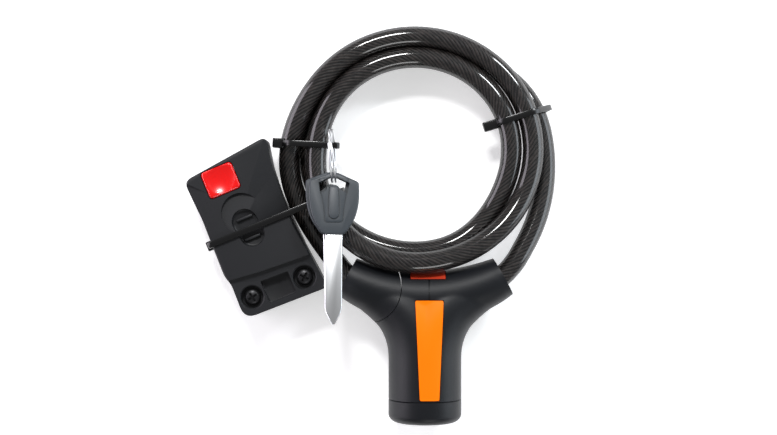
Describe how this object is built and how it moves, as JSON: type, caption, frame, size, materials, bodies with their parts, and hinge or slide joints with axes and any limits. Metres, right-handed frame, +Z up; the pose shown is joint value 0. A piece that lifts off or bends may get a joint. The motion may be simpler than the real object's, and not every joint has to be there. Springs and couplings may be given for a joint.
{
  "type": "key cable lock",
  "caption": "Coiled and tied key cable lock with a Y-shaped body, plug end, frame bracket with release button, and keys on a split ring.",
  "frame": {"origin": "on the surface the lock lies on, under the middle of the object without its cable", "axes": "+Z up; +Y from the barrel towards the far side of the coil; +X from the bracket towards the fixed cable end"},
  "size_m": [0.1764, 0.1892, 0.0429],
  "materials": {
    "charcoal_plastic": "satin moulded charcoal plastic",
    "bracket_plastic": "matt moulded dark grey plastic",
    "orange_plastic": "matt orange trim",
    "red_orange_plastic": "matt red-orange trim",
    "red_plastic": "glossy red plastic",
    "smoked_vinyl": "glossy smoked vinyl over steel strands",
    "tie_nylon": "black nylon",
    "key_plastic": "blue-grey moulded plastic",
    "steel": "nickel-plated steel",
    "zinc": "die-cast zinc",
    "brass": "machined brass",
    "black_steel": "black-coated steel",
    "rubber": "black rubber"
  },
  "bodies": {
    "bundle": {"cable_coil": "smoked_vinyl", "plug_lead": "smoked_vinyl", "fixed_lead": "smoked_vinyl", "plug_grip": "charcoal_plastic", "plug_pin": "steel", "plug_ferrule": "zinc", "tie_left": "tie_nylon", "tie_right": "tie_nylon", "tie_bracket": "tie_nylon", "bracket_housing": "bracket_plastic", "bracket_back": "bracket_plastic", "bracket_pad": "rubber", "bracket_screw_left": "black_steel", "bracket_screw_right": "black_steel", "bracket_nut_left": "zinc", "bracket_nut_right": "zinc", "button_spring": "steel"},
    "lock": {"lock_shell": "charcoal_plastic", "end_cap": "charcoal_plastic", "stripe_insert": "orange_plastic", "crotch_insert": "red_orange_plastic", "cylinder_housing": "zinc", "fixed_ferrule": "zinc", "ferrule_cross_pin": "steel", "latch_spring": "steel"},
    "core": {"rotor": "brass", "cam": "steel", "tumbler_disc_1": "brass", "tumbler_disc_2": "brass", "tumbler_disc_3": "brass", "tumbler_disc_4": "brass", "tumbler_disc_5": "brass", "tumbler_disc_6": "brass"},
    "latch": {"latch_bolt": "steel"},
    "button": {"release_button": "red_plastic"},
    "hook": {"bracket_latch": "steel"},
    "ring": {"key_ring": "steel"},
    "key_back": {"key_back_bow": "key_plastic", "key_back_blade": "steel"},
    "key_front": {"key_front_bow": "key_plastic", "key_front_blade": "steel"}
  },
  "joints": [
    {"name": "lock_off", "type": "slide", "parent": "bundle", "child": "lock", "axis": [0.8746, -0.4848, 0], "range_m": [0, 0.022], "deforming": ["fixed_lead"]},
    {"name": "core_turn", "type": "hinge", "parent": "lock", "child": "core", "pos_m": [0.0254, -0.06, 0.01735], "axis": [0, 1, 0], "range_deg": [0, 90]},
    {"name": "latch_slide", "type": "slide", "parent": "lock", "child": "latch", "axis": [0.4848, 0.8746, 0], "range_m": [0, 0.0022], "deforming": ["latch_spring"]},
    {"name": "button_press", "type": "slide", "parent": "bundle", "child": "button", "axis": [0, 0, -1], "range_m": [0, 0.003], "stiffness_N_per_m": 400, "deforming": ["button_spring"]},
    {"name": "hook_slide", "type": "slide", "parent": "bundle", "child": "hook", "axis": [-0.3827, 0.9239, 0], "range_m": [0, 0.003]},
    {"name": "key_ring_swing", "type": "hinge", "parent": "bundle", "child": "ring", "pos_m": [-0.0186, 0.0561, 0.022], "axis": [-1, 0, 0], "range_deg": [0, 35]},
    {"name": "key_back_swing", "type": "hinge", "parent": "ring", "child": "key_back", "pos_m": [-0.0182, 0.0501, 0.0288], "axis": [-0.9976, -0.0698, 0], "range_deg": [0, 30]},
    {"name": "key_front_swing", "type": "hinge", "parent": "key_back", "child": "key_front", "pos_m": [-0.0182, 0.0501, 0.0288], "axis": [-0.9976, -0.0698, 0], "range_deg": [0, 30]}
  ],
  "couplings": [
    {"joint": "latch_slide", "follows": "core_turn", "m_per_rad": 0.0014},
    {"joint": "hook_slide", "follows": "button_press", "ratio": 1}
  ]
}
